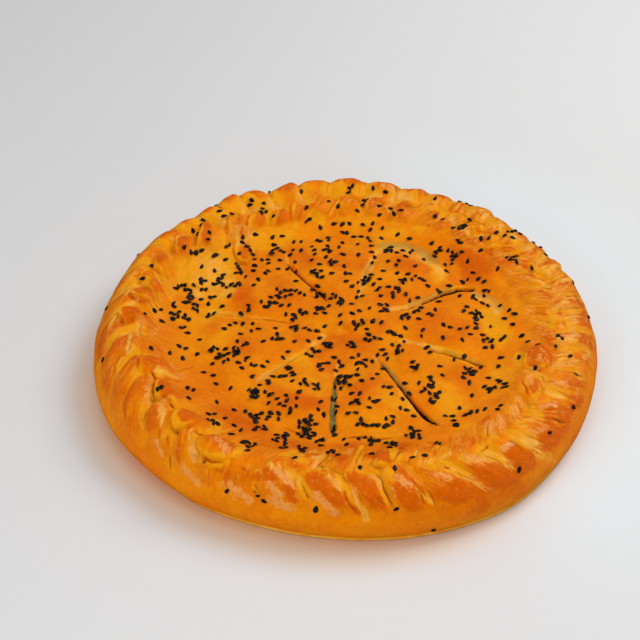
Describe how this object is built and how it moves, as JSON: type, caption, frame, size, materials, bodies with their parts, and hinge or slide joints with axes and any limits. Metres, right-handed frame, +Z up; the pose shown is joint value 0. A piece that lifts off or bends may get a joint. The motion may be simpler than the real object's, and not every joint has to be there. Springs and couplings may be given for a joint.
{
  "type": "meat pie",
  "caption": "Round covered meat pie: a sunken lid with radial steam vents inside a raised rim crimped like a braid, glazed golden and strewn with black sesame.",
  "frame": {"origin": "centre of the pie's outline, on the plane of its flat underside", "axes": "+Z up through the lid; -Y is the side that was nearest the camera in the picture, +X to the right there"},
  "size_m": [0.2392, 0.2394, 0.0351],
  "materials": {
    "crust": "egg-washed baked dough, golden orange with browner crests and paler creases, soft semi-gloss"
  },
  "bodies": {
    "root": {"meat_pie": "crust"}
  },
  "joints": []
}
